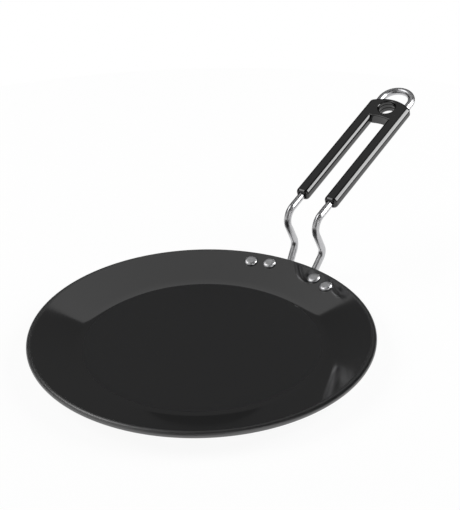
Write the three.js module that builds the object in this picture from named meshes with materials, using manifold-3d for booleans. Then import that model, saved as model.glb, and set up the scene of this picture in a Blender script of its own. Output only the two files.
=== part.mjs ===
// A tawa: a flat griddle plate with a handle bent from one steel rod and a moulded fork-shaped grip.
// Millimetres, +Z up. The origin is the middle of the plate's underside, and the handle points along +X.
import * as THREE from "three";
import { mergeVertices } from "three/addons/utils/BufferGeometryUtils.js";
import Module from "manifold-3d";

const wasm = await Module();
wasm.setup();

// Plate
const PLATE_DIAMETER = 260;
const PLATE_THICKNESS = 5;
const PLATE_HEIGHT = 16.5; // top of the rim above the underside
const WALL_WIDTH = 39.5; // from the rim's edge in to the fold, on the middle of the sheet
const FOLD_RADIUS = 3; // inside of the fold

// Rod: bends are measured on its middle line
const ROD_DIAMETER = 6;
const LEG_SPACING = 27.1; // between the legs, from the grip down to the elbow
const FOOT_SPACING = 23.4; // between the legs where they turn in under the wall
const HANDLE_RISE = THREE.MathUtils.degToRad(20.3);
const LOOP_REACH = 15.3; // from the grip's far end to the end of the hanging loop
const CRANK_SETBACK = 23.8; // from the grip back toward the plate, along X, to the crank's upper corner
const CRANK_BEND_RADIUS = 10.7;
const ELBOW_OUT = 13.1; // crank's lower corner, out from the rim's edge
const ELBOW_LIFT = 8.1; // and up from the rim's top
const ELBOW_BEND_RADIUS = 9.3;
const FOOT_BEND_RADIUS = 9; // where a leg turns in under the wall
const RIM_CLEARANCE = 0.5; // between a leg and the rim

// Tangs: the flattened ends of the legs, under the wall
const TANG_WIDTH = 11;
const TANG_THICKNESS = 3;
const TANG_BEND_RADIUS = 7; // where a leg turns aside to run along the wall
const TANG_TIP = 6.5; // from the outer rivet to the end
const TANG_SQUARENESS = 0.45; // power of the section's corners: 1 is an ellipse, 0 a rectangle

// Rivets
const RIVET_INSET = 11.4; // from the rim's edge in to a pair's middle, on the wall's upper face
const RIVET_SKEW = 0.6; // a pair's inner rivet sits this much farther out, its outer one this much in
const RIVET_FROM_BEND = 4.3; // from the tang's bend to the first rivet
const RIVET_PITCH = 15.9;
const RIVET_SHANK_DIAMETER = 5;
const RIVET_HEAD_DIAMETER = 10.5;
const RIVET_HEAD_HEIGHT = 1.9;
const RIVET_HEAD_FLAT = 5.6; // diameter of the flat on top of the head
const RIVET_TAIL_DIAMETER = 8.6;
const RIVET_TAIL_HEIGHT = 1.7;

// Grip: lengths run along the legs from its lower end
const GRIP_OUT = 20.6; // lower end of the grip, out from the rim's edge
const GRIP_LIFT = 47.4; // and up from the rim's top, on the legs' middle lines
const BAR_SIDE_WALL = 2.5; // beside a leg
const BAR_FACE_WALL = 1.5; // above and below a leg
const EDGE_RADIUS = 3.6;
const BAR_END_RADIUS = 3.9;
const SLOT_LENGTH = 104.1;
const SLOT_ARCH_RADIUS = 36;
const HEAD_LENGTH = 24.3; // from the slot's end to the grip's far end
const END_ARCH_RADIUS = 32.5;
const END_CORNER_RADIUS = 3.9;
const HANG_HOLE_WEB = 4.6; // between the hanging hole and the slot
const HANG_HOLE_DIAMETER = 15;
const HANG_HOLE_STEP = 0.4; // each of the hole's lower bands is narrower all round by this
const HANG_HOLE_BANDS = 3;
const HANG_HOLE_LIP = 1; // radius of the hole's rounded upper edge
const BORE_MOUTH_DIAMETER = 8.2;
const BORE_MOUTH_DEPTH = 1.2;

// Fits
const FIT_GAP = 0.3; // between pieces that touch
const CUT_MARGIN = 2; // how far a cutting shape runs past what it cuts
const ROUND_LEFT = 0.2; // of a wall or a corner that rounding leaves as it was

// Smoothness
const PLATE_SIDES = 96;
const RIM_STEPS = 8;
const ROD_SIDES = 16;
const BEND_STEPS = 7;
const FOLD_STEPS = 3;
const TANG_STEPS = 6;
const ROUND_SIDES = 24;
const EDGE_STEPS = 3;
const ARC_STEPS = 4;
const ARC_ANGLE = THREE.MathUtils.degToRad(7); // largest turn between steps of the grip's outline
const WELD = 1e-4;

// Derived sizes of the plate
const plateRadius = PLATE_DIAMETER / 2;
const rimRadius = PLATE_THICKNESS / 2;
const rimCentre = new THREE.Vector2(plateRadius - rimRadius, PLATE_HEIGHT - rimRadius);
const foldX = plateRadius - WALL_WIDTH;
const wallAngle = Math.atan2(rimCentre.y - PLATE_THICKNESS / 2, rimCentre.x - foldX);
const rivetCircle = plateRadius - RIVET_INSET;

// Derived sizes of the grip
const boreDiameter = ROD_DIAMETER + 2 * FIT_GAP;
const barWidth = boreDiameter + 2 * BAR_SIDE_WALL;
const gripThickness = boreDiameter + 2 * BAR_FACE_WALL;
const gripHalfWidth = (LEG_SPACING + barWidth) / 2;
const slotHalfWidth = (LEG_SPACING - barWidth) / 2;
const gripLength = SLOT_LENGTH + HEAD_LENGTH;
const barEndRadius = Math.min(BAR_END_RADIUS, barWidth / 2 - ROUND_LEFT);
const roundedLeast = Math.min(gripThickness / 2, barEndRadius, END_CORNER_RADIUS);
const edgeRadius = Math.min(EDGE_RADIUS, roundedLeast - ROUND_LEFT);
const hangHoleLip = Math.min(HANG_HOLE_LIP, gripThickness / HANG_HOLE_BANDS - ROUND_LEFT);
const gripStart = new THREE.Vector3(plateRadius + GRIP_OUT, 0, PLATE_HEIGHT + GRIP_LIFT);
const handleAxis = new THREE.Vector3(Math.cos(HANDLE_RISE), 0, Math.sin(HANDLE_RISE));
const gripNormal = new THREE.Vector3(-Math.sin(HANDLE_RISE), 0, Math.cos(HANDLE_RISE));

// Derived sizes of the tangs, seen from above
const tangDrop = PLATE_THICKNESS + FIT_GAP + TANG_THICKNESS / 2;
const tangCircle = rivetCircle + tangDrop * Math.sin(wallAngle);
const tangBendY = FOOT_SPACING / 2 + TANG_BEND_RADIUS;
const tangBendX = Math.sqrt((tangCircle + TANG_BEND_RADIUS) ** 2 - tangBendY ** 2);
const tangStart = Math.atan2(tangBendY, tangBendX);
const innerRivetAngle = tangStart + RIVET_FROM_BEND / tangCircle;
const outerRivetAngle = innerRivetAngle + RIVET_PITCH / tangCircle;
const rivetSpots = {
  inner: { angle: innerRivetAngle, circle: rivetCircle + RIVET_SKEW },
  outer: { angle: outerRivetAngle, circle: rivetCircle - RIVET_SKEW },
};

// A closed geometry as a solid that can be joined to others and cut by them.
function solid(geometry) {
  const bare = geometry.clone();
  bare.deleteAttribute("normal");
  bare.deleteAttribute("uv");
  const merged = mergeVertices(bare, WELD);
  return new wasm.Manifold(
    new wasm.Mesh({
      numProp: 3,
      vertProperties: new Float32Array(merged.attributes.position.array),
      triVerts: new Uint32Array(merged.index.array),
    }),
  );
}

function geometryOf(made) {
  const mesh = made.getMesh();
  const geometry = new THREE.BufferGeometry();
  geometry.setAttribute("position", new THREE.BufferAttribute(mesh.vertProperties, 3));
  geometry.setIndex(new THREE.BufferAttribute(mesh.triVerts, 1));
  geometry.computeVertexNormals();
  return geometry;
}

// A solid of revolution round Z from a profile of (radius, height) points.
function lathe(profile, sides) {
  return new THREE.LatheGeometry(profile, sides).rotateX(Math.PI / 2);
}

// Straight runs joined by round bends, as points with their headings.
function bentPath(corners, radii, steps) {
  const path = [];
  const add = (point, heading) => {
    const last = path[path.length - 1];
    if (!last || last.point.distanceTo(point) > WELD) path.push({ point, heading });
  };
  const direction = (a, b) => b.clone().sub(a).normalize();
  add(corners[0], direction(corners[0], corners[1]));
  radii.forEach((radius, i) => {
    const corner = corners[i + 1];
    const before = direction(corners[i], corner);
    const after = direction(corner, corners[i + 2]);
    const turn = before.angleTo(after);
    const inward = after.clone().addScaledVector(before, -before.dot(after)).normalize();
    const start = corner.clone().addScaledVector(before, -radius * Math.tan(turn / 2));
    for (let k = 0; k <= steps; k++) {
      const angle = (turn * k) / steps;
      const point = start
        .clone()
        .addScaledVector(before, radius * Math.sin(angle))
        .addScaledVector(inward, radius * (1 - Math.cos(angle)));
      const heading = before.clone().multiplyScalar(Math.cos(angle));
      add(point, heading.addScaledVector(inward, Math.sin(angle)));
    }
  });
  const last = corners.length - 1;
  add(corners[last], direction(corners[last - 1], corners[last]));
  return path;
}

// Height of the wall's faces at a distance from the plate's axis.
function wallMiddle(radius) {
  return PLATE_THICKNESS / 2 + (radius - foldX) * Math.tan(wallAngle);
}

function wallTop(radius) {
  return wallMiddle(radius) + PLATE_THICKNESS / 2 / Math.cos(wallAngle);
}

function wallUnder(radius) {
  return wallMiddle(radius) - PLATE_THICKNESS / 2 / Math.cos(wallAngle);
}

// Upward normal of the wall at an angle round the plate.
function wallNormal(angle) {
  const out = Math.sin(wallAngle);
  return new THREE.Vector3(-out * Math.cos(angle), -out * Math.sin(angle), Math.cos(wallAngle));
}

// Where a rivet sits: its axis is square to the wall and its zero height is the wall's upper face.
function rivetPlace(angle, circle) {
  const place = new THREE.Matrix4().makeRotationZ(angle);
  place.multiply(new THREE.Matrix4().makeTranslation(circle, 0, wallTop(circle)));
  return place.multiply(new THREE.Matrix4().makeRotationY(-wallAngle));
}

const rivets = [];
for (const [side, sign] of [["left", 1], ["right", -1]]) {
  for (const [row, { angle, circle }] of Object.entries(rivetSpots)) {
    rivets.push({ name: `rivet_${side}_${row}`, place: rivetPlace(sign * angle, circle) });
  }
}

// Cuts the clearance holes of all four rivets.
function cutRivetHoles(body) {
  const radius = RIVET_SHANK_DIAMETER / 2 + FIT_GAP;
  const length = 2 * (tangDrop + TANG_THICKNESS + CUT_MARGIN);
  for (const { place } of rivets) {
    const drill = new THREE.CylinderGeometry(radius, radius, length, ROUND_SIDES);
    body = body.subtract(solid(drill.rotateX(Math.PI / 2).applyMatrix4(place)));
  }
  return body;
}

function plateGeometry() {
  const flatPoint = (x, y) => new THREE.Vector3(x, y, 0);
  const foldShift = (PLATE_THICKNESS / 2) * Math.tan(wallAngle / 2);
  const rimArc = [];
  for (let k = 0; k <= RIM_STEPS; k++) {
    const angle = wallAngle - Math.PI / 2 + (Math.PI * k) / RIM_STEPS;
    const x = rimCentre.x + rimRadius * Math.cos(angle);
    rimArc.push(flatPoint(x, rimCentre.y + rimRadius * Math.sin(angle)));
  }
  const under = [flatPoint(0, 0), flatPoint(foldX + foldShift, 0), rimArc[0]];
  const topFold = flatPoint(foldX - foldShift, PLATE_THICKNESS);
  const top = [rimArc[RIM_STEPS], topFold, flatPoint(0, PLATE_THICKNESS)];
  const profile = [
    ...bentPath(under, [FOLD_RADIUS + PLATE_THICKNESS], FOLD_STEPS).map((station) => station.point),
    ...rimArc.slice(1, -1),
    ...bentPath(top, [FOLD_RADIUS], FOLD_STEPS).map((station) => station.point),
  ];
  const sheet = lathe(profile.map((point) => new THREE.Vector2(point.x, point.y)), PLATE_SIDES);
  return geometryOf(cutRivetHoles(solid(sheet)));
}

// A leg's elbow and foot, and where it turns aside under the wall. The run from elbow to foot leans so
// that it passes the rim at its clearance.
function lowerCorners() {
  const elbow = new THREE.Vector2(plateRadius + ELBOW_OUT, PLATE_HEIGHT + ELBOW_LIFT);
  const toRim = rimCentre.clone().sub(elbow);
  const reach = rimRadius + ROD_DIAMETER / 2 + RIM_CLEARANCE;
  const lean = Math.atan2(-toRim.x, -toRim.y) - Math.asin(reach / toRim.length());
  const start = new THREE.Vector3(tangBendX, FOOT_SPACING / 2, 0);
  start.z = wallUnder(Math.hypot(start.x, start.y)) - (FIT_GAP + ROD_DIAMETER / 2) / Math.cos(wallAngle);
  const rise = Math.tan(wallAngle);
  const fall = 1 / Math.tan(lean);
  const footX = (elbow.y - start.z + rise * start.x - fall * elbow.x) / (rise - fall);
  return {
    elbow: new THREE.Vector3(elbow.x, LEG_SPACING / 2, elbow.y),
    foot: new THREE.Vector3(footX, FOOT_SPACING / 2, start.z + rise * (footX - start.x)),
    start,
  };
}

// One half of the rod, from the end of the loop down to where the leg turns aside under the wall.
function legStations() {
  const along = (distance, y) => gripStart.clone().addScaledVector(handleAxis, distance).setY(y);
  const { elbow, foot, start } = lowerCorners();
  const corners = [
    along(gripLength + LOOP_REACH, 0),
    along(gripLength + LOOP_REACH, LEG_SPACING / 2),
    along(-CRANK_SETBACK / Math.cos(HANDLE_RISE), LEG_SPACING / 2),
    elbow,
    foot,
    start,
  ];
  const radii = [LEG_SPACING / 2, CRANK_BEND_RADIUS, ELBOW_BEND_RADIUS, FOOT_BEND_RADIUS];
  const up = gripNormal.clone();
  let before = null;
  return bentPath(corners, radii, BEND_STEPS).map(({ point, heading }) => {
    if (before) up.applyQuaternion(new THREE.Quaternion().setFromUnitVectors(before, heading));
    before = heading;
    return { point, heading, up: up.clone(), width: ROD_DIAMETER, depth: ROD_DIAMETER, power: 1 };
  });
}

// A section of the tang under the wall, at a place and heading seen from above.
function wallStation(x, y, headingX, headingY, width, depth, power) {
  const up = wallNormal(Math.atan2(y, x));
  const z = wallUnder(Math.hypot(x, y)) - (FIT_GAP + depth / 2) / Math.cos(wallAngle);
  const heading = new THREE.Vector3(headingX, headingY, 0);
  heading.addScaledVector(up, -heading.dot(up)).normalize();
  return { point: new THREE.Vector3(x, y, z), heading, up, width, depth, power };
}

// The rest of that half: the leg turns aside, flattens and follows the wall to a round tip.
function tangStations() {
  const stations = [];
  const turn = Math.PI / 2 - tangStart;
  for (let k = 1; k <= BEND_STEPS; k++) {
    const angle = (turn * k) / BEND_STEPS;
    const flat = THREE.MathUtils.smoothstep(k / BEND_STEPS, 0, 1);
    const x = tangBendX - TANG_BEND_RADIUS * Math.sin(angle);
    const y = tangBendY - TANG_BEND_RADIUS * Math.cos(angle);
    const width = THREE.MathUtils.lerp(ROD_DIAMETER, TANG_WIDTH, flat);
    const depth = THREE.MathUtils.lerp(ROD_DIAMETER, TANG_THICKNESS, flat);
    const power = THREE.MathUtils.lerp(1, TANG_SQUARENESS, flat);
    stations.push(wallStation(x, y, -Math.cos(angle), Math.sin(angle), width, depth, power));
  }
  const onCircle = (angle, width) => {
    const x = tangCircle * Math.cos(angle);
    const y = tangCircle * Math.sin(angle);
    return wallStation(x, y, -Math.sin(angle), Math.cos(angle), width, TANG_THICKNESS, TANG_SQUARENESS);
  };
  const tipStart = outerRivetAngle + (TANG_TIP - TANG_WIDTH / 2) / tangCircle;
  for (let k = 1; k <= TANG_STEPS; k++) {
    stations.push(onCircle(THREE.MathUtils.lerp(tangStart, tipStart, k / TANG_STEPS), TANG_WIDTH));
  }
  for (let k = 1; k < TANG_STEPS; k++) {
    const round = (Math.PI / 2) * (k / TANG_STEPS);
    const angle = tipStart + ((TANG_WIDTH / 2) * Math.sin(round)) / tangCircle;
    stations.push(onCircle(angle, TANG_WIDTH * Math.cos(round)));
  }
  return stations;
}

// The same station on the other leg, met the other way along the rod.
function mirrored(station) {
  const { point, heading, up } = station;
  return {
    ...station,
    point: new THREE.Vector3(point.x, -point.y, point.z),
    heading: new THREE.Vector3(-heading.x, heading.y, -heading.z),
    up: new THREE.Vector3(up.x, -up.y, up.z),
  };
}

// A closed skin over sections set along a path.
function loft(stations) {
  const positions = [];
  const index = [];
  const bend = (value, power) => Math.sign(value) * Math.abs(value) ** power;
  stations.forEach(({ point, heading, up, width, depth, power }, i) => {
    const side = heading.clone().cross(up).normalize();
    for (let j = 0; j < ROD_SIDES; j++) {
      const angle = (2 * Math.PI * j) / ROD_SIDES;
      const vertex = point
        .clone()
        .addScaledVector(side, (width / 2) * bend(Math.cos(angle), power))
        .addScaledVector(up, (depth / 2) * bend(Math.sin(angle), power));
      positions.push(vertex.x, vertex.y, vertex.z);
      if (i === 0) continue;
      const next = (j + 1) % ROD_SIDES;
      const here = i * ROD_SIDES;
      const back = here - ROD_SIDES;
      index.push(back + j, here + j, back + next, back + next, here + j, here + next);
    }
  });
  const end = (stations.length - 1) * ROD_SIDES;
  for (let j = 1; j < ROD_SIDES - 1; j++) {
    index.push(0, j, j + 1, end, end + j + 1, end + j);
  }
  const geometry = new THREE.BufferGeometry();
  geometry.setAttribute("position", new THREE.Float32BufferAttribute(positions, 3));
  geometry.setIndex(index);
  return geometry;
}

function rodGeometry() {
  const half = [...legStations(), ...tangStations()];
  const other = half.slice(1).reverse().map(mirrored);
  return geometryOf(cutRivetHoles(solid(loft([...other, ...half]))));
}

// Points along an arc, with the same turn or a little less at each step.
function arc(x, y, radius, start, end) {
  const steps = Math.ceil(Math.abs(end - start) / ARC_ANGLE);
  const points = [];
  for (let k = 0; k <= steps; k++) {
    const angle = THREE.MathUtils.lerp(start, end, k / steps);
    points.push(new THREE.Vector2(x + radius * Math.cos(angle), y + radius * Math.sin(angle)));
  }
  return points;
}

// A closed outline, without the points that coincide where two arcs meet.
function outline(points) {
  return new THREE.Shape(points.filter((point, i) => point.distanceTo(points.at(i - 1)) > WELD));
}

// An arched end with round corners: turn is 1 counter-clockwise, -1 clockwise.
function archedEnd(apex, half, archRadius, cornerRadius, turn) {
  const centre = apex - archRadius;
  const cornerY = half - cornerRadius;
  const cornerX = centre + Math.sqrt((archRadius - cornerRadius) ** 2 - cornerY ** 2);
  const split = turn * Math.atan2(cornerY, cornerX - centre);
  const square = (turn * Math.PI) / 2;
  return [
    ...arc(cornerX, -turn * cornerY, cornerRadius, -square, -split),
    ...arc(centre, 0, archRadius, -split, split),
    ...arc(cornerX, turn * cornerY, cornerRadius, split, square),
  ];
}

// The fork's outline, lower ends at zero, with a slot that runs on under the web.
function forkShape() {
  const corner = barEndRadius;
  const quarter = Math.PI / 2;
  return outline([
    ...arc(corner, corner - gripHalfWidth, corner, 2 * quarter, 3 * quarter),
    ...archedEnd(gripLength, gripHalfWidth, END_ARCH_RADIUS, END_CORNER_RADIUS, 1),
    ...arc(corner, gripHalfWidth - corner, corner, quarter, 2 * quarter),
    ...arc(corner, slotHalfWidth + corner, corner, 2 * quarter, 3 * quarter),
    ...archedEnd(SLOT_LENGTH + edgeRadius, slotHalfWidth, SLOT_ARCH_RADIUS, edgeRadius, -1),
    ...arc(corner, -slotHalfWidth - corner, corner, quarter, 2 * quarter),
  ]);
}

// The web between the bars, whose face toward the slot is arched and has a plain edge.
function webShape() {
  const centre = SLOT_LENGTH - SLOT_ARCH_RADIUS;
  const spread = Math.asin(slotHalfWidth / SLOT_ARCH_RADIUS);
  const side = centre + SLOT_ARCH_RADIUS * Math.cos(spread);
  const back = SLOT_LENGTH + HEAD_LENGTH / 2;
  return outline([
    new THREE.Vector2(back, LEG_SPACING / 2),
    new THREE.Vector2(back, -LEG_SPACING / 2),
    new THREE.Vector2(side, -LEG_SPACING / 2),
    ...arc(centre, 0, SLOT_ARCH_RADIUS, -spread, spread),
    new THREE.Vector2(side, LEG_SPACING / 2),
  ]);
}

// The stepped hanging hole with its rounded upper edge, open at both faces, as a cutting shape.
function hangHole() {
  const radius = HANG_HOLE_DIAMETER / 2;
  const top = gripThickness / 2;
  const bandHeight = gripThickness / HANG_HOLE_BANDS;
  const profile = [];
  for (let band = HANG_HOLE_BANDS - 1; band >= 0; band--) {
    const bandRadius = radius - band * HANG_HOLE_STEP;
    const upper = top - band * bandHeight;
    const lowest = band === HANG_HOLE_BANDS - 1 ? CUT_MARGIN : 0;
    profile.push(new THREE.Vector2(bandRadius, upper - bandHeight - lowest));
    if (band > 0) profile.push(new THREE.Vector2(bandRadius, upper));
  }
  for (let k = 0; k <= ARC_STEPS; k++) {
    const angle = ((Math.PI / 2) * k) / ARC_STEPS;
    const out = radius + hangHoleLip * (1 - Math.cos(angle));
    profile.push(new THREE.Vector2(out, top - hangHoleLip * (1 - Math.sin(angle))));
  }
  profile.push(new THREE.Vector2(radius + hangHoleLip, top + CUT_MARGIN));
  profile.unshift(new THREE.Vector2(0, profile[0].y));
  profile.push(new THREE.Vector2(0, profile[profile.length - 1].y));
  const middle = SLOT_LENGTH + HANG_HOLE_WEB + radius;
  return lathe(profile, 2 * ROUND_SIDES).translate(middle, 0, 0);
}

// A leg's bore with its flared mouth, along X from the bar's lower end.
function legBore(y) {
  const length = gripLength + 2 * CUT_MARGIN;
  const mouth = BORE_MOUTH_DEPTH + CUT_MARGIN;
  const flare = (BORE_MOUTH_DIAMETER - boreDiameter) / 2;
  const wide = boreDiameter / 2 + (flare * mouth) / BORE_MOUTH_DEPTH;
  const bore = new THREE.CylinderGeometry(boreDiameter / 2, boreDiameter / 2, length, ROUND_SIDES);
  const cone = new THREE.CylinderGeometry(wide, boreDiameter / 2, mouth, ROUND_SIDES);
  bore.rotateZ(Math.PI / 2).translate(gripLength / 2, y, 0);
  cone.rotateZ(Math.PI / 2).translate(mouth / 2 - CUT_MARGIN, y, 0);
  return solid(bore).add(solid(cone));
}

function gripGeometry() {
  const fork = new THREE.ExtrudeGeometry(forkShape(), {
    depth: gripThickness - 2 * edgeRadius,
    bevelThickness: edgeRadius,
    bevelSize: edgeRadius,
    bevelOffset: -edgeRadius,
    bevelSegments: EDGE_STEPS,
  });
  fork.translate(0, 0, edgeRadius - gripThickness / 2);
  const web = new THREE.ExtrudeGeometry(webShape(), {
    depth: gripThickness,
    bevelEnabled: false,
  });
  web.translate(0, 0, -gripThickness / 2);
  let body = solid(fork).add(solid(web)).subtract(solid(hangHole()));
  for (const y of [-LEG_SPACING / 2, LEG_SPACING / 2]) {
    body = body.subtract(legBore(y));
  }
  return geometryOf(body);
}

// A rivet about Z: low domed head above the wall, shank, and the tail formed below the tang.
function rivetGeometry() {
  const shank = RIVET_SHANK_DIAMETER / 2;
  const head = RIVET_HEAD_DIAMETER / 2;
  const tail = RIVET_TAIL_DIAMETER / 2;
  const tailTop = -(PLATE_THICKNESS + TANG_THICKNESS + 2 * FIT_GAP);
  const profile = [
    new THREE.Vector2(0, tailTop - RIVET_TAIL_HEIGHT),
    new THREE.Vector2(tail - RIVET_TAIL_HEIGHT / 2, tailTop - RIVET_TAIL_HEIGHT),
    new THREE.Vector2(tail, tailTop - RIVET_TAIL_HEIGHT / 2),
    new THREE.Vector2(tail, tailTop),
    new THREE.Vector2(shank, tailTop),
    new THREE.Vector2(shank, FIT_GAP),
    new THREE.Vector2(head, FIT_GAP),
  ];
  const dome = RIVET_HEAD_HEIGHT - FIT_GAP;
  const shoulder = head - RIVET_HEAD_FLAT / 2;
  for (let k = 1; k <= ARC_STEPS; k++) {
    const angle = ((Math.PI / 2) * k) / ARC_STEPS;
    const x = RIVET_HEAD_FLAT / 2 + shoulder * Math.cos(angle);
    profile.push(new THREE.Vector2(x, FIT_GAP + dome * Math.sin(angle)));
  }
  profile.push(new THREE.Vector2(0, RIVET_HEAD_HEIGHT));
  return lathe(profile, ROUND_SIDES);
}

const PLATE_FINISH = { color: 0x29292a, roughness: 0.22, metalness: 0.35 };
const ROD_FINISH = { color: 0xd4d5d7, roughness: 0.16, metalness: 1 };
const GRIP_FINISH = { color: 0x161617, roughness: 0.2, metalness: 0 };
const RIVET_FINISH = { color: 0xc6c6c8, roughness: 0.3, metalness: 1 };

function piece(name, geometry, finish) {
  const mesh = new THREE.Mesh(geometry, new THREE.MeshStandardMaterial(finish));
  mesh.name = name;
  return mesh;
}

const tawa = new THREE.Group();
tawa.add(piece("tawa_plate", plateGeometry(), PLATE_FINISH));
tawa.add(piece("handle_rod", rodGeometry(), ROD_FINISH));

const handle = new THREE.Group();
handle.position.copy(gripStart);
handle.rotation.y = -HANDLE_RISE;
handle.add(piece("handle_grip", gripGeometry(), GRIP_FINISH));
tawa.add(handle);

for (const { name, place } of rivets) {
  const rivet = piece(name, rivetGeometry(), RIVET_FINISH);
  rivet.applyMatrix4(place);
  tawa.add(rivet);
}

export default tawa;
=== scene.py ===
import math

import bmesh
import bpy
from mathutils import Euler, Matrix, Vector


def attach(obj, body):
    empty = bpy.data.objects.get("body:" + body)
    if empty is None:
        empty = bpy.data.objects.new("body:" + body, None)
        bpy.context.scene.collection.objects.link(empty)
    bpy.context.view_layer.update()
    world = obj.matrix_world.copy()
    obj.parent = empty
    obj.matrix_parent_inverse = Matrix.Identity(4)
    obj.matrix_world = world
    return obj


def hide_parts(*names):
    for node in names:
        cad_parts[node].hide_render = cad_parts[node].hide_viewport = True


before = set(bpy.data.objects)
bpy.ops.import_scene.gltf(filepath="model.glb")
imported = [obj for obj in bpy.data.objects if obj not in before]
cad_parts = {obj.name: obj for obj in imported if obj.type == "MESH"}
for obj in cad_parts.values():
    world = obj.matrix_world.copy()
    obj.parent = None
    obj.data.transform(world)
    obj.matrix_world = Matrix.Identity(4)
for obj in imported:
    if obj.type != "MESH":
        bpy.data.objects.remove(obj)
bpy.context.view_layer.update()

MM = 0.001
scene = bpy.context.scene

# Plate, as in the part's source but for its fold, which is gentler and a little farther out
PLATE_RADIUS = 130 * MM
PLATE_THICKNESS = 5 * MM
PLATE_HEIGHT = 16.5 * MM
WALL_WIDTH = 39.5 * MM
FOLD_RADIUS = 39 * MM
FOLD_SHIFT = 0.6 * MM

# Rod, measured on its middle line
ROD_DIAMETER = 6 * MM
LEG_SPACING = 27.1 * MM
FOOT_SPACING = 23.4 * MM
HANDLE_RISE = math.radians(20.3)
LOOP_REACH = 15.3 * MM
CRANK_SETBACK = 23.8 * MM
CRANK_BEND_RADIUS = 10.7 * MM
ELBOW_OUT = 13.1 * MM
ELBOW_LIFT = 8.1 * MM
ELBOW_BEND_RADIUS = 9.3 * MM
FOOT_BEND_RADIUS = 9 * MM
RIM_CLEARANCE = 0.5 * MM

# Tangs under the wall
TANG_WIDTH = 11 * MM
TANG_THICKNESS = 3 * MM
TANG_BEND_RADIUS = 7 * MM
TANG_TIP = 6.5 * MM
TANG_SQUARENESS = 0.45

# Rivets
RIVET_INSET = 11.4 * MM
RIVET_SKEW = 0.6 * MM
RIVET_FROM_BEND = 4.3 * MM
RIVET_PITCH = 15.9 * MM
RIVET_SHANK_DIAMETER = 5 * MM
RIVET_HEAD_DIAMETER = 10.5 * MM
RIVET_HEAD_HEIGHT = 1.9 * MM
RIVET_HEAD_FLAT = 5.6 * MM
RIVET_TAIL_DIAMETER = 8.6 * MM
RIVET_TAIL_HEIGHT = 1.7 * MM

# Grip, with lengths along the legs from its lower end
GRIP_OUT = 20.6 * MM
GRIP_LIFT = 47.4 * MM
BAR_SIDE_WALL = 2.5 * MM
BAR_FACE_WALL = 1.5 * MM
EDGE_RADIUS = 3.6 * MM
BAR_END_RADIUS = 3.9 * MM
SLOT_LENGTH = 104.1 * MM
SLOT_ARCH_RADIUS = 36 * MM
SLOT_EDGE_RADIUS = 0.8 * MM
HEAD_LENGTH = 24.3 * MM
END_ARCH_RADIUS = 32.5 * MM
END_CORNER_RADIUS = 3.9 * MM
HANG_HOLE_WEB = 4.6 * MM
HANG_HOLE_DIAMETER = 15 * MM
HANG_HOLE_STEP = 0.4 * MM
HANG_HOLE_BANDS = 3
HANG_HOLE_LIP = 1 * MM
BORE_MOUTH_DIAMETER = 8.2 * MM
BORE_MOUTH_DEPTH = 1.2 * MM

FIT_GAP = 0.3 * MM
CUT_MARGIN = 2 * MM

# Smoothness
PLATE_SIDES = 240
RIM_STEPS = 28
FOLD_STEPS = 24
ROD_SIDES = 40
BEND_STEPS = 24
TANG_STEPS = 14
ROUND_SIDES = 64
EDGE_STEPS = 12
ARC_STEPS = 10
STUDIO_SIDES = 240
SHARP_ANGLE = math.radians(32)
SAME_POINT = 0.001 * MM
CLOSEST_STATIONS = FIT_GAP / 10

# Plate's finish: dullness of the wall, of its edge and of the rim
# The flat's own finish, whose lighter base colour is partly painted light, ends where the fold gets
# steeper than its tilt
WALL_ROUGHNESS = 0.055
WALL_EDGE_ROUGHNESS = 0.09
WALL_EDGE_WIDTH = 19 * MM
RIM_ROUGHNESS = 0.39
FLAT_FINISH_TILT = math.radians(7.4)
SPECKLE_SIZE = 0.7 * MM
TURNING_PITCH = 0.9 * MM
TURNING_DEPTH = 0.0004 * MM

# Camera: the photograph is 460 x 510 pixels
PHOTO_HEIGHT = 510
FOCAL_PIXELS = 1339.4
CAMERA_PLACE = (-0.6622, -0.5356, 0.5380)
CAMERA_PITCH = math.radians(28.294)
CAMERA_HEADING = math.radians(-52.526)
CAMERA_ROLL = math.radians(-1.075)

# Studio: radiance 1 is white
FLOOR_RADIUS = 0.6
FLOOR_WHITENESS = 0.93
FLOOR_DARK = (0.86, 0.86, 0.86)
FLOOR_LIGHT = (0.9, 0.9, 0.9)
WORLD_FILL = 0.1
SURROUND_RADIUS = 4
SURROUND_ROWS = 32
SURROUND_DARK = 0.043
REAR_GLOW = 0.045
REAR_GLOW_HEIGHT = math.radians(32)
REAR_GLOW_EDGE = 0.8

# Patches of light on the surround: azimuth, elevation and radiance
# Angles in degrees, from and to, with the blur at each. The third and fourth are one, cut at 180
PATCHES = [
    ((-100, -50, 12, 12), (42, 66, 10, 12), 3.2),
    ((-150, -80, 15, 15), (-8, 45, 10, 10), 0.6),
    ((-200, -165, 10, 10), (34, 50, 8, 10), 0.5),
    ((150, 200, 20, 10), (34, 50, 8, 10), 0.5),
    ((128, 166, 12, 12), (-2, 32, 6, 10), 1),
]

# Lamps: azimuth and elevation in degrees, width and height in metres, and radiance
STUDIO_MIDDLE = Vector((0.08, 0, 0.03))
LAMP_DISTANCE = 1.6
LAMP_LEFT = (-82, 40, 1.1, 0.85, 6)
LAMP_RIGHT = (82, 34, 1.1, 1.1, 6.4)
PANEL_REAR = (0, 57.7, 1.7, 0.967, 0.28)
PANEL_ROLL = math.radians(0.9)

# A bright card beside the handle: from and to in metres, with the blur at each
# The later share is what is left of its radiance where a reflection is reflected again
CARD_PLACE = Vector((0.2, 0, 0))
CARD_DISTANCE = 0.35
CARD_DEPTH = (-0.13, 0.12, 0.08, 0.12)
CARD_HEIGHT = (0.109, 0.79, 0.024, 0.25)
CARD_RADIANCE = 8.2
CARD_LATER_SHARE = 0.09

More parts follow.
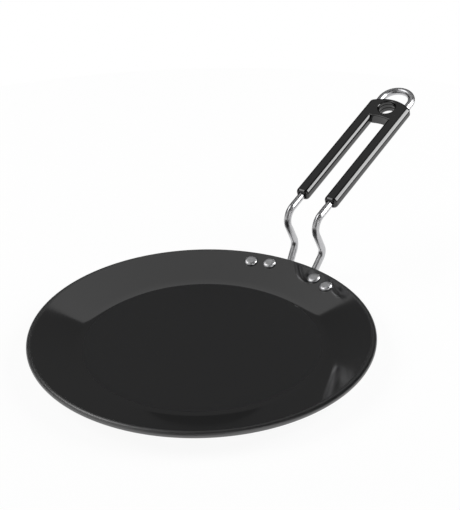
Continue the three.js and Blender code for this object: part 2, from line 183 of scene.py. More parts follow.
# Derived sizes
rim_radius = PLATE_THICKNESS / 2
rim_x = PLATE_RADIUS - rim_radius
rim_z = PLATE_HEIGHT - rim_radius
fold_x = PLATE_RADIUS - WALL_WIDTH
wall_angle = math.atan2(rim_z - PLATE_THICKNESS / 2, rim_x - fold_x)
rivet_circle = PLATE_RADIUS - RIVET_INSET

bore_diameter = ROD_DIAMETER + 2 * FIT_GAP
bar_width = bore_diameter + 2 * BAR_SIDE_WALL
grip_thickness = bore_diameter + 2 * BAR_FACE_WALL
grip_half_width = (LEG_SPACING + bar_width) / 2
slot_half_width = (LEG_SPACING - bar_width) / 2
grip_length = SLOT_LENGTH + HEAD_LENGTH
grip_start = Vector((PLATE_RADIUS + GRIP_OUT, 0, PLATE_HEIGHT + GRIP_LIFT))
grip_place = Matrix.Translation(grip_start) @ Matrix.Rotation(-HANDLE_RISE, 4, "Y")
handle_axis = Vector((math.cos(HANDLE_RISE), 0, math.sin(HANDLE_RISE)))
grip_normal = Vector((-math.sin(HANDLE_RISE), 0, math.cos(HANDLE_RISE)))

tang_drop = PLATE_THICKNESS + FIT_GAP + TANG_THICKNESS / 2
tang_circle = rivet_circle + tang_drop * math.sin(wall_angle)
tang_bend_y = FOOT_SPACING / 2 + TANG_BEND_RADIUS
tang_bend_x = math.sqrt((tang_circle + TANG_BEND_RADIUS) ** 2 - tang_bend_y**2)
tang_start = math.atan2(tang_bend_y, tang_bend_x)
inner_rivet_angle = tang_start + RIVET_FROM_BEND / tang_circle
outer_rivet_angle = inner_rivet_angle + RIVET_PITCH / tang_circle
rivet_spots = {
    "inner": (inner_rivet_angle, rivet_circle + RIVET_SKEW),
    "outer": (outer_rivet_angle, rivet_circle - RIVET_SKEW),
}

away_from_camera = math.radians(90) + CAMERA_HEADING


# Mesh making


def mix(a, b, share):
    return a + (b - a) * share


def arc(centre_x, centre_y, radius, start, end, steps=ARC_STEPS):
    """Points along a circle, from one angle to another."""
    points = []
    for k in range(steps + 1):
        angle = mix(start, end, k / steps)
        points.append((centre_x + radius * math.cos(angle), centre_y + radius * math.sin(angle)))
    return points


def new_object(name, vertices, faces):
    mesh = bpy.data.meshes.new(name)
    mesh.from_pydata(vertices, [], faces)
    mesh.update()
    obj = bpy.data.objects.new(name, mesh)
    scene.collection.objects.link(obj)
    return obj


def lathe(name, profile, sides):
    """A closed solid turned round Z, from a profile that starts low and ends high on the axis."""
    lower, *rings, upper = profile
    vertices = [(0, 0, lower[1])]
    for radius, height in rings:
        for j in range(sides):
            angle = 2 * math.pi * j / sides
            vertices.append((radius * math.cos(angle), radius * math.sin(angle), height))
    top = len(vertices)
    vertices.append((0, 0, upper[1]))
    faces = []
    for j in range(sides):
        after = (j + 1) % sides
        faces.append((0, 1 + after, 1 + j))
        for k in range(len(rings) - 1):
            here = 1 + k * sides
            over = here + sides
            faces.append((here + j, here + after, over + after, over + j))
        last = 1 + (len(rings) - 1) * sides
        faces.append((last + j, last + after, top))
    return new_object(name, vertices, faces)


def stacked(name, rings):
    """A closed skin over rings with equally many points, and a flat face at each end."""
    count = len(rings[0])
    vertices = [point for ring in rings for point in ring]
    faces = [tuple(reversed(range(count)))]
    for k in range(len(rings) - 1):
        here = k * count
        over = here + count
        for j in range(count):
            after = (j + 1) % count
            faces.append((here + j, here + after, over + after, over + j))
    faces.append(tuple(range(len(vertices) - count, len(vertices))))
    return new_object(name, vertices, faces)


def join_doubles(mesh):
    """Joins points that lie on top of each other."""
    edited = bmesh.new()
    edited.from_mesh(mesh)
    bmesh.ops.remove_doubles(edited, verts=edited.verts, dist=SAME_POINT)
    edited.to_mesh(mesh)
    edited.free()


def cut(obj, cutters):
    """Subtracts the cutters from a piece and deletes them."""
    for cutter in cutters:
        modifier = obj.modifiers.new(cutter.name, "BOOLEAN")
        modifier.operation = "DIFFERENCE"
        modifier.solver = "EXACT"
        modifier.object = cutter
    evaluated = obj.evaluated_get(bpy.context.evaluated_depsgraph_get())
    made = bpy.data.meshes.new_from_object(evaluated)
    obj.modifiers.clear()
    join_doubles(made)
    obj.data = made
    for cutter in cutters:
        bpy.data.objects.remove(cutter)


def smooth(obj):
    """Smooth shading, sharp at real edges, with flat faces kept flat."""
    obj.data.shade_smooth()
    obj.data.set_sharp_from_angle(angle=SHARP_ANGLE)
    weighted = obj.modifiers.new("flat_faces", "WEIGHTED_NORMAL")
    weighted.keep_sharp = True


def place_piece(obj, node, slot, *materials):
    """A finished piece stands in for its node, which it hides, takes the finishes it is given and
    rides with the part; its slot is not used.
    """
    smooth(obj)
    obj.data.materials.clear()
    for material in materials:
        obj.data.materials.append(material)
    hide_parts(node)
    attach(obj, "root")


def bent_path(corners, radii, steps):
    """Straight runs joined by round bends, as points with their headings."""
    first = (corners[1] - corners[0]).normalized()
    path = [(corners[0], first)]
    for i, radius in enumerate(radii):
        corner = corners[i + 1]
        before = (corner - corners[i]).normalized()
        after = (corners[i + 2] - corner).normalized()
        turn = before.angle(after)
        inward = (after - before * before.dot(after)).normalized()
        start = corner - before * (radius * math.tan(turn / 2))
        for k in range(steps + 1):
            angle = turn * k / steps
            point = start + before * (radius * math.sin(angle))
            point += inward * (radius * (1 - math.cos(angle)))
            heading = before * math.cos(angle) + inward * math.sin(angle)
            if (point - path[-1][0]).length > CLOSEST_STATIONS:
                path.append((point, heading))
    path.append((corners[-1], (corners[-1] - corners[-2]).normalized()))
    return path


# Plate


def wall_top(radius):
    middle = PLATE_THICKNESS / 2 + (radius - fold_x) * math.tan(wall_angle)
    return middle + PLATE_THICKNESS / 2 / math.cos(wall_angle)


def wall_under(radius):
    return wall_top(radius) - PLATE_THICKNESS / math.cos(wall_angle)


def rivet_place(angle, circle):
    """A rivet's axis is square to the wall, and its zero height is the wall's upper face."""
    seat = Matrix.Translation((circle, 0, wall_top(circle)))
    return Matrix.Rotation(angle, 4, "Z") @ seat @ Matrix.Rotation(-wall_angle, 4, "Y")


def rivet_drills():
    """The four rivets' clearance holes, as cutting shapes."""
    radius = RIVET_SHANK_DIAMETER / 2 + FIT_GAP
    half = tang_drop + TANG_THICKNESS + CUT_MARGIN
    profile = [(0, -half), (radius, -half), (radius, half), (0, half)]
    drills = []
    for sign in (1, -1):
        for angle, circle in rivet_spots.values():
            drill = lathe("drill", profile, ROUND_SIDES)
            drill.matrix_world = rivet_place(sign * angle, circle)
            drills.append(drill)
    return drills


def plate_profile():
    crease_x = fold_x + FOLD_SHIFT
    slope = math.atan2(rim_z - PLATE_THICKNESS / 2, rim_x - crease_x)
    offset = PLATE_THICKNESS / 2 * math.tan(slope / 2)
    half_circle = arc(rim_x, rim_z, rim_radius, slope - math.pi / 2, slope + math.pi / 2, RIM_STEPS)
    rim = [Vector((x, z, 0)) for x, z in half_circle]
    under = [Vector((0, 0, 0)), Vector((crease_x + offset, 0, 0)), rim[0]]
    top_fold = Vector((crease_x - offset, PLATE_THICKNESS, 0))
    top = [rim[-1], top_fold, Vector((0, PLATE_THICKNESS, 0))]
    points = [point for point, _ in bent_path(under, [FOLD_RADIUS + PLATE_THICKNESS], FOLD_STEPS)]
    points += rim[1:-1]
    points += [point for point, _ in bent_path(top, [FOLD_RADIUS], FOLD_STEPS)]
    return [(point.x, point.y) for point in points]


def make_plate():
    body = lathe("plate_body", plate_profile(), PLATE_SIDES)
    cut(body, rivet_drills())
    return body


def finish_cooking_face(body):
    """The plate's second finish, whose lighter base colour is partly painted light, goes on the flat
    that food lies on and on the start of the fold.
    """
    for face in body.data.polygons:
        if face.normal.z > math.cos(FLAT_FINISH_TILT) and face.center.z < rim_z:
            face.material_index = 1


# Rod


def under_wall(x, y, depth):
    """Height of the middle of a section that lies a gap below the wall."""
    return wall_under(math.hypot(x, y)) - (FIT_GAP + depth / 2) / math.cos(wall_angle)


def lower_corners():
    """A leg's elbow, its foot clear of the rim, and where it turns aside under the wall."""
    elbow_x = PLATE_RADIUS + ELBOW_OUT
    elbow_z = PLATE_HEIGHT + ELBOW_LIFT
    reach = rim_radius + ROD_DIAMETER / 2 + RIM_CLEARANCE
    distance = math.hypot(elbow_x - rim_x, elbow_z - rim_z)
    lean = math.atan2(elbow_x - rim_x, elbow_z - rim_z) - math.asin(reach / distance)
    foot_y = FOOT_SPACING / 2
    start_x = tang_bend_x
    start_z = under_wall(start_x, foot_y, ROD_DIAMETER)
    rise = math.tan(wall_angle)
    fall = 1 / math.tan(lean)
    foot_x = (elbow_z - start_z + rise * start_x - fall * elbow_x) / (rise - fall)
    foot_z = start_z + rise * (foot_x - start_x)
    elbow = Vector((elbow_x, LEG_SPACING / 2, elbow_z))
    return elbow, Vector((foot_x, foot_y, foot_z)), Vector((start_x, foot_y, start_z))


def leg_stations():
    """Half of the rod, from the loop's end down to where the leg turns aside under the wall."""

    def along(distance, y):
        point = grip_start + handle_axis * distance
        return Vector((point.x, y, point.z))

    corners = [
        along(grip_length + LOOP_REACH, 0),
        along(grip_length + LOOP_REACH, LEG_SPACING / 2),
        along(-CRANK_SETBACK / math.cos(HANDLE_RISE), LEG_SPACING / 2),
        *lower_corners(),
    ]
    radii = [LEG_SPACING / 2, CRANK_BEND_RADIUS, ELBOW_BEND_RADIUS, FOOT_BEND_RADIUS]
    stations = []
    up = grip_normal.copy()
    before = None
    for point, heading in bent_path(corners, radii, BEND_STEPS):
        if before is not None:
            up = before.rotation_difference(heading) @ up
        before = heading
        stations.append((point, heading, up.copy(), ROD_DIAMETER, ROD_DIAMETER, 1))
    return stations


def wall_station(x, y, heading_x, heading_y, width, depth, power):
    """A section of the tang under the wall, at a place and heading seen from above."""
    angle = math.atan2(y, x)
    out = math.sin(wall_angle)
    up = Vector((-out * math.cos(angle), -out * math.sin(angle), math.cos(wall_angle)))
    heading = Vector((heading_x, heading_y, 0))
    heading = (heading - up * heading.dot(up)).normalized()
    return Vector((x, y, under_wall(x, y, depth))), heading, up, width, depth, power


def tang_stations():
    """The rest of that half: the leg turns aside, flattens and follows the wall to a round tip."""
    stations = []
    turn = math.pi / 2 - tang_start
    for k in range(1, BEND_STEPS + 1):
        share = k / BEND_STEPS
        angle = turn * share
        flat = share * share * (3 - 2 * share)
        x = tang_bend_x - TANG_BEND_RADIUS * math.sin(angle)
        y = tang_bend_y - TANG_BEND_RADIUS * math.cos(angle)
        width = mix(ROD_DIAMETER, TANG_WIDTH, flat)
        depth = mix(ROD_DIAMETER, TANG_THICKNESS, flat)
        power = mix(1, TANG_SQUARENESS, flat)
        stations.append(wall_station(x, y, -math.cos(angle), math.sin(angle), width, depth, power))

    def on_circle(angle, width):
        x, y = math.cos(angle), math.sin(angle)
        section = (width, TANG_THICKNESS, TANG_SQUARENESS)
        return wall_station(tang_circle * x, tang_circle * y, -y, x, *section)

    tip_start = outer_rivet_angle + (TANG_TIP - TANG_WIDTH / 2) / tang_circle
    for k in range(1, TANG_STEPS + 1):
        stations.append(on_circle(mix(tang_start, tip_start, k / TANG_STEPS), TANG_WIDTH))
    for k in range(1, TANG_STEPS):
        turn = math.pi / 2 * k / TANG_STEPS
        angle = tip_start + TANG_WIDTH / 2 * math.sin(turn) / tang_circle
        stations.append(on_circle(angle, TANG_WIDTH * math.cos(turn)))
    return stations


def mirrored(station):
    """The same station on the other leg, met the other way along the rod."""
    point, heading, up, *section = station
    return (
        Vector((point.x, -point.y, point.z)),
        Vector((-heading.x, heading.y, -heading.z)),
        Vector((up.x, -up.y, up.z)),
        *section,
    )


def section_ring(station):
    """Points round one section of the rod: an ellipse, squarer where its power is lower."""
    point, heading, up, width, depth, power = station
    side = heading.cross(up).normalized()
    ring = []
    for j in range(ROD_SIDES):
        angle = 2 * math.pi * j / ROD_SIDES
        across = math.copysign(abs(math.cos(angle)) ** power, math.cos(angle))
        rise = math.copysign(abs(math.sin(angle)) ** power, math.sin(angle))
        ring.append(point + side * (width / 2 * across) + up * (depth / 2 * rise))
    return ring


def make_rod():
    half = leg_stations() + tang_stations()
    other = [mirrored(station) for station in reversed(half[1:])]
    body = stacked("rod_body", [section_ring(station) for station in other + half])
    cut(body, rivet_drills())
    return body


# Grip


def slot_end(y):
    """Where the slot ends, across its width."""
    inside = min(abs(y), slot_half_width)
    return SLOT_LENGTH - SLOT_ARCH_RADIUS + math.sqrt(SLOT_ARCH_RADIUS**2 - inside**2)


def grip_outline(inset, slot_inset):
    """The fork seen from above, its edges and the slot's end set in by what rounding takes."""
    half_turn, quarter = math.pi, math.pi / 2
    corner = BAR_END_RADIUS
    corner_y = grip_half_width - END_CORNER_RADIUS
    arch_x = grip_length - END_ARCH_RADIUS
    corner_x = arch_x + math.sqrt((END_ARCH_RADIUS - END_CORNER_RADIUS) ** 2 - corner_y**2)
    split = math.atan2(corner_y, corner_x - arch_x)
    end_radius = END_CORNER_RADIUS - inset
    bar_radius = corner - inset
    points = arc(corner, corner - grip_half_width, bar_radius, half_turn, 3 * quarter)
    points += arc(corner_x, -corner_y, end_radius, -quarter, -split)
    points += arc(arch_x, 0, END_ARCH_RADIUS - inset, -split, split, 3 * ARC_STEPS)[1:-1]
    points += arc(corner_x, corner_y, end_radius, split, quarter)
    points += arc(corner, grip_half_width - corner, bar_radius, quarter, half_turn)
    points += arc(corner, slot_half_width + corner, bar_radius, half_turn, 3 * quarter)[1:]
    wide = slot_half_width + inset
    for k in range(2 * ARC_STEPS + 1):
        y = mix(wide, -wide, k / (2 * ARC_STEPS))
        points.append((slot_end(y) + slot_inset, y))
    points += arc(corner, -slot_half_width - corner, bar_radius, quarter, half_turn)[:-1]
    return points


def grip_rings():
    """The fork's outline at each height, rounded at its upper and lower edges."""
    rings = []
    for sign in (-1, 1):
        for k in range(EDGE_STEPS + 1):
            step = k if sign > 0 else EDGE_STEPS - k
            angle = math.pi / 2 * step / EDGE_STEPS
            height = grip_thickness / 2 - EDGE_RADIUS + EDGE_RADIUS * math.sin(angle)
            over = max(0, height - grip_thickness / 2 + SLOT_EDGE_RADIUS)
            slot_inset = SLOT_EDGE_RADIUS - math.sqrt(max(0, SLOT_EDGE_RADIUS**2 - over**2))
            outline = grip_outline(EDGE_RADIUS * (1 - math.cos(angle)), slot_inset)
            rings.append([(x, y, sign * height) for x, y in outline])
    return rings


def hang_hole_cutter():
    """The stepped hanging hole, wider toward the upper face and rounded at its upper edge."""
    radius = HANG_HOLE_DIAMETER / 2
    band_height = grip_thickness / HANG_HOLE_BANDS
    top = grip_thickness / 2
    profile = [(0, -top - CUT_MARGIN)]
    for band in reversed(range(HANG_HOLE_BANDS)):
        band_radius = radius - band * HANG_HOLE_STEP
        upper = top - band * band_height
        lowest = band == HANG_HOLE_BANDS - 1
        profile.append((band_radius, upper - band_height - (CUT_MARGIN if lowest else 0)))
        if band > 0:
            profile.append((band_radius, upper))
    lip = radius + HANG_HOLE_LIP
    profile += arc(lip, top - HANG_HOLE_LIP, HANG_HOLE_LIP, math.pi, math.pi / 2)
    profile += [(lip, top + CUT_MARGIN), (0, top + CUT_MARGIN)]
    cutter = lathe("hang_hole", profile, ROUND_SIDES)
    cutter.matrix_world = Matrix.Translation((SLOT_LENGTH + HANG_HOLE_WEB + radius, 0, 0))
    return cutter


def bore_cutter(y):
    """A leg's bore with its flared mouth, from the bar's lower end."""
    radius = bore_diameter / 2
    flare = BORE_MOUTH_DIAMETER / 2 - radius
    wide = radius + flare * (BORE_MOUTH_DEPTH + CUT_MARGIN) / BORE_MOUTH_DEPTH
    low = -CUT_MARGIN
    high = grip_length + CUT_MARGIN
    profile = [(0, low), (wide, low), (radius, BORE_MOUTH_DEPTH), (radius, high), (0, high)]
    cutter = lathe("bore", profile, ROUND_SIDES)
    cutter.matrix_world = Matrix.Translation((0, y, 0)) @ Matrix.Rotation(math.pi / 2, 4, "Y")
    return cutter


def make_grip():
    body = stacked("grip_body", grip_rings())
    cut(body, [hang_hole_cutter(), bore_cutter(-LEG_SPACING / 2), bore_cutter(LEG_SPACING / 2)])
    body.matrix_world = grip_place
    return body


# Rivets


def rivet_profile():
    shank = RIVET_SHANK_DIAMETER / 2
    head = RIVET_HEAD_DIAMETER / 2
    tail = RIVET_TAIL_DIAMETER / 2
    tail_top = -(PLATE_THICKNESS + TANG_THICKNESS + 2 * FIT_GAP)
    flat = RIVET_HEAD_FLAT / 2
    round_radius = RIVET_TAIL_HEIGHT / 2
    profile = [(0, tail_top - RIVET_TAIL_HEIGHT)]
    profile += arc(tail - round_radius, tail_top - round_radius, round_radius, -math.pi / 2, 0)
    profile += [(tail, tail_top), (shank, tail_top), (shank, FIT_GAP)]
    dome = RIVET_HEAD_HEIGHT - FIT_GAP
    for k in range(ARC_STEPS + 1):
        angle = math.pi / 2 * k / ARC_STEPS
        profile.append((flat + (head - flat) * math.cos(angle), FIT_GAP + dome * math.sin(angle)))
    profile.append((0, RIVET_HEAD_HEIGHT))
    return profile


def make_rivet(name, angle, circle):
    rivet = lathe(name, rivet_profile(), ROUND_SIDES)
    rivet.matrix_world = rivet_place(angle, circle)
    return rivet


# Materials


def dress(tree, shader, inputs):
    """Sets a shader's inputs, each a value or another node's socket."""
    for key, value in inputs.items():
        if isinstance(value, bpy.types.NodeSocket):
            tree.links.new(value, shader.inputs[key])
        else:
            shader.inputs[key].default_value = value


def add_node(tree, kind, inputs=None, **settings):
    """Adds a shader node."""
    made = tree.nodes.new(kind)
    for key, value in settings.items():
        setattr(made, key, value)
    dress(tree, made, inputs or {})
    return made


def calculate(tree, operation, *values):
    """One step of arithmetic on numbers and sockets."""
    inputs = dict(enumerate(values))
    return add_node(tree, "ShaderNodeMath", inputs, operation=operation).outputs["Value"]


def new_material(name):
    """A material's tree with only its Principled shader."""
    material = bpy.data.materials.new(name)
    material.use_nodes = True
    tree = material.node_tree
    return material, tree, tree.nodes["Principled BSDF"]


def place(tree):
    """Places on the piece, in metres in its own frame."""
    return add_node(tree, "ShaderNodeTexCoord").outputs["Object"]


def axis_distance(tree):
    """Distance from the piece's own Z axis."""
    inputs = {0: place(tree), 1: (1, 1, 0)}
    flat = add_node(tree, "ShaderNodeVectorMath", inputs, operation="MULTIPLY").outputs["Vector"]
    return add_node(tree, "ShaderNodeVectorMath", {0: flat}, operation="LENGTH").outputs["Value"]


def noise(tree, size, detail=2, rough=0.5):
    """Noise with features of a size in metres."""
    inputs = {"Vector": place(tree), "Scale": 1 / size, "Detail": detail, "Roughness": rough}
    return add_node(tree, "ShaderNodeTexNoise", inputs).outputs["Fac"]


def turned_rings(tree, pitch, detail=1):
    """Uneven rings round the piece's own axis, as from turning."""
    inputs = {"W": axis_distance(tree), "Scale": 1 / pitch, "Detail": detail}
    return add_node(tree, "ShaderNodeTexNoise", inputs, noise_dimensions="1D").outputs["Fac"]


def between(tree, share, low, high):
    """A number that runs from low to high with a share from 0 to 1."""
    inputs = {"Value": share, "To Min": low, "To Max": high}
    return add_node(tree, "ShaderNodeMapRange", inputs).outputs["Result"]


def by_stops(tree, value, stops):
    """A number that follows stops of (value, number) with straight runs between them."""
    first, last = stops[0][0], stops[-1][0]
    inputs = {"Value": value, "From Min": first, "From Max": last}
    share = add_node(tree, "ShaderNodeMapRange", inputs).outputs["Result"]
    ramp = add_node(tree, "ShaderNodeValToRGB", {"Fac": share})
    elements = ramp.color_ramp.elements
    while len(elements) < len(stops):
        elements.new(1)
    for element, (at, number) in zip(elements, stops):
        element.position = (at - first) / (last - first)
        element.color = (number, number, number, 1)
    return ramp.outputs["Color"]


def tint(tree, share, dark, light):
    """A colour between two as a share runs from 0 to 1."""
    ramp = add_node(tree, "ShaderNodeValToRGB", {"Fac": share})
    ramp.color_ramp.elements[0].color = (*dark, 1)
    ramp.color_ramp.elements[1].color = (*light, 1)
    return ramp.outputs["Color"]


def bump(tree, height, depth):
    """Relief of a depth in metres."""
    inputs = {"Height": height, "Distance": depth, "Strength": 1}
    return add_node(tree, "ShaderNodeBump", inputs).outputs["Normal"]


def plate_speckle(tree):
    return noise(tree, SPECKLE_SIZE, detail=4, rough=0.7)


def plate_turning(tree):
    return bump(tree, turned_rings(tree, TURNING_PITCH), TURNING_DEPTH)


def plate_wall_finish():
    """Dark hard finish on turned aluminium, glossy on the wall and duller round the rim."""
    material, tree, shader = new_material("plate_wall_finish")
    speckle = plate_speckle(tree)
    edge_x = rim_x - rim_radius
    dullness = [
        (edge_x - WALL_EDGE_WIDTH, WALL_ROUGHNESS),
        (edge_x, WALL_EDGE_ROUGHNESS),
        (rim_x, RIM_ROUGHNESS),
    ]
    dress(tree, shader, {
        "Base Color": tint(tree, speckle, (0.0065, 0.0065, 0.0066), (0.011, 0.011, 0.0113)),
        "Roughness": by_stops(tree, axis_distance(tree), dullness),
        "IOR": 2.15,
        "Normal": plate_turning(tree),
    })
    return material


def plate_flat_finish_and_painted_light():
    """The same finish, dulled on the flat cooking face, with a base colour lighter than the wall's
    that is partly the plate's own tone and partly painted reflected light.
    """
    material, tree, shader = new_material("plate_flat_finish_and_painted_light")
    speckle = plate_speckle(tree)
    dress(tree, shader, {
        # Lighter than the wall's colour: the plate's own dark tone plus painted reflected light
        "Base Color": tint(tree, speckle, (0.0113, 0.0113, 0.0116), (0.0157, 0.0157, 0.0161)),
        "Roughness": between(tree, speckle, 0.46, 0.54),
        "IOR": 1.4,
        "Normal": plate_turning(tree),
    })
    return material


def rod_finish():
    """Bright drawn steel with a fine grain and faint smears."""
    material, tree, shader = new_material("rod_steel")
    grain = noise(tree, 0.5 * MM, detail=3)
    smear = noise(tree, 12 * MM, detail=2)
    dress(tree, shader, {
        "Base Color": tint(tree, grain, (0.47, 0.47, 0.48), (0.56, 0.56, 0.57)),
        "Metallic": 1.0,
        "Roughness": between(tree, smear, 0.24, 0.32),
    })
    return material


def grip_finish():
    """Glossy black moulding with a faint orange peel."""
    material, tree, shader = new_material("grip_moulding")
    peel = noise(tree, 1.6 * MM, detail=1)
    smudge = noise(tree, 20 * MM, detail=3)
    dress(tree, shader, {
        "Base Color": tint(tree, smudge, (0.001, 0.001, 0.0011), (0.003, 0.003, 0.0032)),
        "Roughness": between(tree, smudge, 0.08, 0.13),
        "IOR": 1.65,
        "Normal": bump(tree, peel, 0.003 * MM),
    })
    return material


def rivet_finish():
    """Satin aluminium, faintly ringed by the tool that formed it."""
    material, tree, shader = new_material("rivet_aluminium")
    ring = turned_rings(tree, 0.35 * MM, detail=2)
    grain = noise(tree, 0.6 * MM, detail=3)
    dress(tree, shader, {
        "Base Color": tint(tree, grain, (0.56, 0.56, 0.57), (0.72, 0.72, 0.73)),
        "Metallic": 1.0,
        "Roughness": between(tree, grain, 0.3, 0.42),
        "Normal": bump(tree, ring, 0.004 * MM),
    })
    return material


# The part

plate = make_plate()
place_piece(plate, "tawa_plate", "plate", plate_wall_finish(), plate_flat_finish_and_painted_light())
finish_cooking_face(plate)
rod = make_rod()
place_piece(rod, "handle_rod", "rod", rod_finish())
grip = make_grip()
place_piece(grip, "handle_grip", "grip", grip_finish())
# The plate stays out of these, or it would look white from behind
card_mirrors = bpy.data.collections.new("card_mirrors")
card_mirrors.objects.link(rod)
card_mirrors.objects.link(grip)
rivet_metal = rivet_finish()
for side, sign in (("left", 1), ("right", -1)):
    for row, (angle, circle) in rivet_spots.items():
        rivet = make_rivet(f"rivet_{side}_{row}_body", sign * angle, circle)
        place_piece(rivet, f"rivet_{side}_{row}", "rivets", rivet_metal)
        card_mirrors.objects.link(rivet)


# Camera


def make_camera():
    camera = bpy.data.cameras.new("camera")
    camera.lens = FOCAL_PIXELS * camera.sensor_width / PHOTO_HEIGHT
    obj = bpy.data.objects.new("camera", camera)
    turn = Euler((math.pi / 2 - CAMERA_PITCH, 0, CAMERA_HEADING)).to_matrix().to_4x4()
    roll = Matrix.Rotation(CAMERA_ROLL, 4, "Z")
    obj.matrix_world = Matrix.Translation(CAMERA_PLACE) @ turn @ roll
    scene.collection.objects.link(obj)
    scene.camera = obj


# Studio


def shown_share(tree):
    """1 where a thing is seen, straight, mirrored or through glass, and 0 where it gives light."""
    path = add_node(tree, "ShaderNodeLightPath").outputs
    seen = calculate(tree, "MAXIMUM", path["Is Camera Ray"], path["Is Glossy Ray"])
    return calculate(tree, "MAXIMUM", seen, path["Is Transmission Ray"])


def bare_material(name):
    """A material's tree without a shader."""
    material, tree, shader = new_material(name)
    tree.nodes.remove(shader)
    return material, tree


def set_surface(tree, shader):
    tree.links.new(shader, tree.nodes["Material Output"].inputs["Surface"])


def floor_material():
    """A pale floor that shows nearly white and keeps a soft shadow."""
    material, tree = bare_material("floor_pale")
    colour = tint(tree, noise(tree, 8 * MM), FLOOR_DARK, FLOOR_LIGHT)
    pale = add_node(tree, "ShaderNodeBsdfDiffuse", {"Color": colour})
    white = add_node(tree, "ShaderNodeEmission", {"Color": (1, 1, 1, 1), "Strength": 1.0})
    share = calculate(tree, "MULTIPLY", shown_share(tree), FLOOR_WHITENESS)
    inputs = {0: share, 1: pale.outputs["BSDF"], 2: white.outputs["Emission"]}
    set_surface(tree, add_node(tree, "ShaderNodeMixShader", inputs).outputs["Shader"])
    return material


def make_floor():
    """A round pale table top. Past its edge reflections see the dim surround."""
    circle = arc(0, 0, FLOOR_RADIUS, 0, 2 * math.pi, STUDIO_SIDES)[:-1]
    edge = [(x, y, 0) for x, y in circle]
    floor = new_object("floor", edge, [tuple(range(STUDIO_SIDES))])
    floor.data.materials.append(floor_material())


def make_world():
    """White where it is seen, and a dim even fill where it lights."""
    world = bpy.data.worlds.new("studio")
    world.use_nodes = True
    tree = world.node_tree
    dress(tree, tree.nodes["Background"], {
        "Color": (1, 1, 1, 1),
        "Strength": between(tree, shown_share(tree), WORLD_FILL, 1.0),
    })
    scene.world = world


def toward(azimuth, elevation):
    """A direction from the part. Azimuth 0 is away from the photograph's camera, 90 to its right."""
    turn = away_from_camera - math.radians(azimuth)
    rise = math.radians(elevation)
    level = math.cos(rise)
    return Vector((math.cos(turn) * level, math.sin(turn) * level, math.sin(rise)))


def make_lamp(name, azimuth, elevation, width, height, radiance, in_reflections, roll=0):
    """A rectangular lamp that faces the part, seen by reflections only where it says so."""
    lamp = bpy.data.lights.new(name, "AREA")
    lamp.shape = "RECTANGLE"
    lamp.size = width
    lamp.size_y = height
    lamp.energy = math.pi * width * height * radiance
    obj = bpy.data.objects.new(name, lamp)
    out = toward(azimuth, elevation)
    obj.location = STUDIO_MIDDLE + out * LAMP_DISTANCE
    turn = out.to_track_quat("Z", "Y").to_matrix() @ Matrix.Rotation(roll, 3, "Z")
    obj.rotation_euler = turn.to_euler()
    obj.visible_camera = False
    obj.visible_glossy = in_reflections
    scene.collection.objects.link(obj)


def eased(tree, value, start, end):
    """A share that eases from 0 to 1 as a value runs from start to end."""
    inputs = {"Value": value, "From Min": start, "From Max": end}
    made = add_node(tree, "ShaderNodeMapRange", inputs, interpolation_type="SMOOTHSTEP")
    return made.outputs["Result"]


def window(tree, value, low, high, low_blur, high_blur):
    """1 while a value is between two others, fading to 0 over a blur at each."""
    rise = eased(tree, value, low - low_blur / 2, low + low_blur / 2)
    fall = eased(tree, value, high + high_blur / 2, high - high_blur / 2)
    return calculate(tree, "MULTIPLY", rise, fall)


def patch(tree, across, across_limits, up, up_limits):
    """1 inside a blurred rectangle and 0 outside."""
    across_share = window(tree, across, *across_limits)
    up_share = window(tree, up, *up_limits)
    return calculate(tree, "MULTIPLY", across_share, up_share)


def shine(tree, light):
    """The whole material is an emission of this strength."""
    set_surface(tree, add_node(tree, "ShaderNodeEmission", {"Strength": light}).outputs["Emission"])


def show_in_reflections(obj, material):
    """A studio piece that only reflections see."""
    obj.data.materials.append(material)
    obj.visible_camera = False
    obj.visible_diffuse = False
    obj.visible_shadow = False


def surround_material():
    """Dim all round, a little lighter behind the part, with soft patches of light."""
    material, tree = bare_material("surround_light")
    axes = add_node(tree, "ShaderNodeSeparateXYZ", {0: place(tree)}).outputs
    azimuth = calculate(tree, "ARCTAN2", calculate(tree, "MULTIPLY", axes["Y"], -1.0), axes["X"])
    elevation = calculate(tree, "ARCSINE", calculate(tree, "DIVIDE", axes["Z"], SURROUND_RADIUS))
    glow_axis = Vector((math.cos(REAR_GLOW_HEIGHT), 0, math.sin(REAR_GLOW_HEIGHT)))
    inputs = {0: place(tree), 1: glow_axis / SURROUND_RADIUS}
    nearness = add_node(tree, "ShaderNodeVectorMath", inputs, operation="DOT_PRODUCT").outputs["Value"]
    inputs = {"Value": nearness, "From Min": REAR_GLOW_EDGE, "To Max": REAR_GLOW}
    glow = add_node(tree, "ShaderNodeMapRange", inputs).outputs["Result"]
    light = calculate(tree, "ADD", glow, SURROUND_DARK)
    for across, up, radiance in PATCHES:
        across_limits = [math.radians(angle) for angle in across]
        up_limits = [math.radians(angle) for angle in up]
        share = patch(tree, azimuth, across_limits, elevation, up_limits)
        light = calculate(tree, "MULTIPLY_ADD", share, radiance, light)
    shine(tree, light)
    # Sampled as a lamp, it would speckle the rod
    material.cycles.emission_sampling = "NONE"
    return material


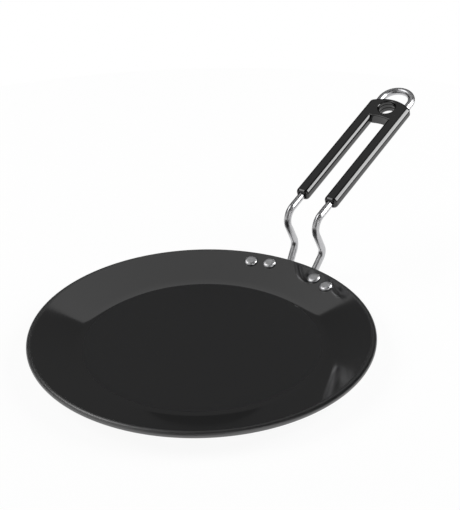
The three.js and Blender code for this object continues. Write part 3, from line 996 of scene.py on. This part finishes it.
def make_surround():
    """A ball round the studio that only reflections see. Its X axis points away from the camera."""
    rows = arc(0, 0, SURROUND_RADIUS, -math.pi / 2, math.pi / 2, SURROUND_ROWS)
    ball = lathe("surround", rows, STUDIO_SIDES)
    ball.rotation_euler.z = away_from_camera
    ball.data.shade_smooth()
    show_in_reflections(ball, surround_material())


def card_material():
    """Bright in the middle, fading toward its edges, and dim where a reflection is reflected."""
    material, tree = bare_material("card_light")
    axes = add_node(tree, "ShaderNodeSeparateXYZ", {0: place(tree)}).outputs
    share = patch(tree, axes["X"], CARD_DEPTH, axes["Y"], CARD_HEIGHT)
    depth = add_node(tree, "ShaderNodeLightPath").outputs["Glossy Depth"]
    later = calculate(tree, "SUBTRACT", depth, 1.0)
    radiance = between(tree, later, CARD_RADIANCE, CARD_RADIANCE * CARD_LATER_SHARE)
    shine(tree, calculate(tree, "MULTIPLY", share, radiance))
    return material


def make_card(mirrors):
    """An upright card to the handle's right, which only the pieces that mirror it can see.

    Its X axis points away from the camera, and its Y axis up.
    """
    near, far = CARD_DEPTH[0] - CARD_DEPTH[2], CARD_DEPTH[1] + CARD_DEPTH[3]
    low, high = CARD_HEIGHT[0] - CARD_HEIGHT[2], CARD_HEIGHT[1] + CARD_HEIGHT[3]
    corners = [(near, low, 0), (far, low, 0), (far, high, 0), (near, high, 0)]
    card = new_object("card_right", corners, [(0, 1, 2, 3)])
    axes = Matrix((toward(0, 0), (0, 0, 1), toward(90, 0))).transposed().to_4x4()
    card.matrix_world = Matrix.Translation(CARD_PLACE + toward(90, 0) * CARD_DISTANCE) @ axes
    show_in_reflections(card, card_material())
    card.light_linking.receiver_collection = mirrors


make_camera()
make_floor()
make_world()
make_surround()
make_card(card_mirrors)
make_lamp("lamp_left", *LAMP_LEFT, in_reflections=False)
make_lamp("lamp_right", *LAMP_RIGHT, in_reflections=False)
make_lamp("panel_rear", *PANEL_REAR, in_reflections=True, roll=PANEL_ROLL)
scene.view_settings.view_transform = "Standard"
